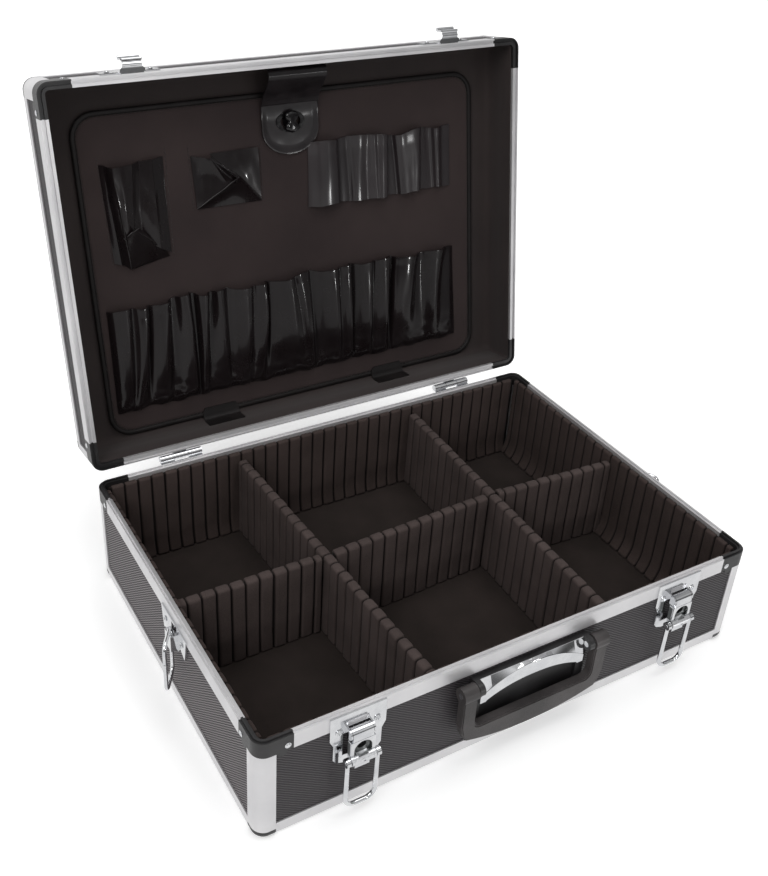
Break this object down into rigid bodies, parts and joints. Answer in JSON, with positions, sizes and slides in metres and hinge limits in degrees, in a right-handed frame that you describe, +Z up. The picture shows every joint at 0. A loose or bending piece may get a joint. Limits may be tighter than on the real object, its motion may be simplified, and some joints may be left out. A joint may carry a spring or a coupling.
{
  "type": "hard tool case",
  "caption": "Hard-sided carrying case standing open, with a divided padded tray, tool pallet in the hinged lid, draw latches and carry handle.",
  "frame": {"origin": "middle of the tray footprint, on the floor", "axes": "+Z up, +X to the case's right seen from the front, -Y towards the side with the handle and latches"},
  "size_m": [0.4918, 0.4516, 0.4419],
  "materials": {
    "case_board": "fine weave pressed into a dark grey laminate on board",
    "extrusion": "satin anodised",
    "black_plastic": "satin moulded",
    "chrome": "bright plated steel",
    "padding": "soft brown-black cloth over foam",
    "lid_cloth": "dark brown-grey cloth",
    "vinyl": "soft black vinyl, glossy",
    "grip": "satin moulded"
  },
  "bodies": {
    "tray": {"bottom_panel": "case_board", "front_panel": "case_board", "back_panel": "case_board", "left_panel": "case_board", "right_panel": "case_board", "tray_rim_rails": "extrusion", "tray_base_rails": "extrusion", "tray_corner_posts": "extrusion", "tray_rim_corners": "black_plastic", "tray_base_caps": "black_plastic", "tray_rivets": "chrome", "wall_lining": "padding", "floor_lining": "padding", "latch_plate_left": "chrome", "latch_plate_right": "chrome", "latch_pins": "chrome", "hinge_lower_leaves": "chrome", "hinge_pins": "chrome", "handle_backplate": "black_plastic", "handle_arch": "chrome", "handle_pins": "chrome", "strap_plate_left": "chrome", "strap_plate_right": "chrome", "hardware_screws": "chrome"},
    "lid": {"lid_top_panel": "case_board", "lid_wall_panels": "case_board", "lid_rim_rails": "extrusion", "lid_edge_rails": "extrusion", "lid_corner_posts": "extrusion", "lid_rim_corners": "black_plastic", "lid_edge_caps": "black_plastic", "lid_rivets": "chrome", "lid_lining": "lid_cloth", "hinge_upper_leaves": "chrome", "strikes": "chrome", "strike_screws": "chrome", "pallet_board": "lid_cloth", "pallet_binding": "vinyl", "pocket_tall": "lid_cloth", "pocket_envelope": "lid_cloth", "upper_loops": "lid_cloth", "lower_pockets": "vinyl", "pallet_strap": "lid_cloth", "strap_eyelet": "black_plastic", "button_base": "black_plastic", "pallet_tabs": "lid_cloth"},
    "turn_button": {"turn_button": "black_plastic"},
    "latch_lever_left": {"latch_lever_left": "chrome"},
    "latch_lever_right": {"latch_lever_right": "chrome"},
    "latch_bail_left": {"latch_bail_left": "chrome"},
    "latch_bail_right": {"latch_bail_right": "chrome"},
    "handle": {"handle_grip": "grip"},
    "strap_ring_left": {"strap_ring_left": "chrome"},
    "strap_ring_right": {"strap_ring_right": "chrome"},
    "long_divider_left": {"long_divider_left": "padding"},
    "long_divider_right": {"long_divider_right": "padding"},
    "cross_divider_left": {"cross_divider_left": "padding"},
    "cross_divider_middle": {"cross_divider_middle": "padding"},
    "cross_divider_right": {"cross_divider_right": "padding"}
  },
  "joints": [
    {"name": "lid_hinge", "type": "hinge", "parent": "tray", "child": "lid", "pos_m": [0, 0.17, 0.0996], "axis": [-1, 0, 0], "range_deg": [-100, 0]},
    {"name": "latch_lever_left", "type": "hinge", "parent": "tray", "child": "latch_lever_left", "pos_m": [-0.15, -0.17, 0.08], "axis": [-1, 0, 0], "range_deg": [0, 110]},
    {"name": "latch_bail_left", "type": "hinge", "parent": "latch_lever_left", "child": "latch_bail_left", "pos_m": [-0.15, -0.174, 0.057], "axis": [1, 0, 0], "range_deg": [-181, 0]},
    {"name": "latch_lever_right", "type": "hinge", "parent": "tray", "child": "latch_lever_right", "pos_m": [0.15, -0.17, 0.08], "axis": [-1, 0, 0], "range_deg": [0, 110]},
    {"name": "latch_bail_right", "type": "hinge", "parent": "latch_lever_right", "child": "latch_bail_right", "pos_m": [0.15, -0.174, 0.057], "axis": [1, 0, 0], "range_deg": [-181, 0]},
    {"name": "handle_swing", "type": "hinge", "parent": "tray", "child": "handle", "pos_m": [0, -0.173, 0.075], "axis": [-1, 0, 0], "range_deg": [0, 100]},
    {"name": "strap_ring_left_swing", "type": "hinge", "parent": "tray", "child": "strap_ring_left", "pos_m": [-0.2311, -0.02, 0.07], "axis": [0, 0, 1], "range_deg": [-136, 20]},
    {"name": "strap_ring_right_swing", "type": "hinge", "parent": "tray", "child": "strap_ring_right", "pos_m": [0.2311, -0.02, 0.07], "axis": [0, 0, 1], "range_deg": [-20, 136]},
    {"name": "turn_button_turn", "type": "hinge", "parent": "lid", "child": "turn_button", "pos_m": [0, 0.2493, 0.36791], "axis": [0, -0.9848, 0.1736], "range_deg": [0, 90]},
    {"name": "long_divider_left_lift", "type": "slide", "parent": "tray", "child": "long_divider_left", "axis": [0, 0, 1], "range_m": [0, 0.09]},
    {"name": "long_divider_right_lift", "type": "slide", "parent": "tray", "child": "long_divider_right", "axis": [0, 0, 1], "range_m": [0, 0.09]},
    {"name": "cross_divider_left_lift", "type": "slide", "parent": "tray", "child": "cross_divider_left", "axis": [0, 0, 1], "range_m": [0, 0.09]},
    {"name": "cross_divider_middle_lift", "type": "slide", "parent": "tray", "child": "cross_divider_middle", "axis": [0, 0, 1], "range_m": [0, 0.09]},
    {"name": "cross_divider_right_lift", "type": "slide", "parent": "tray", "child": "cross_divider_right", "axis": [0, 0, 1], "range_m": [0, 0.09]}
  ]
}
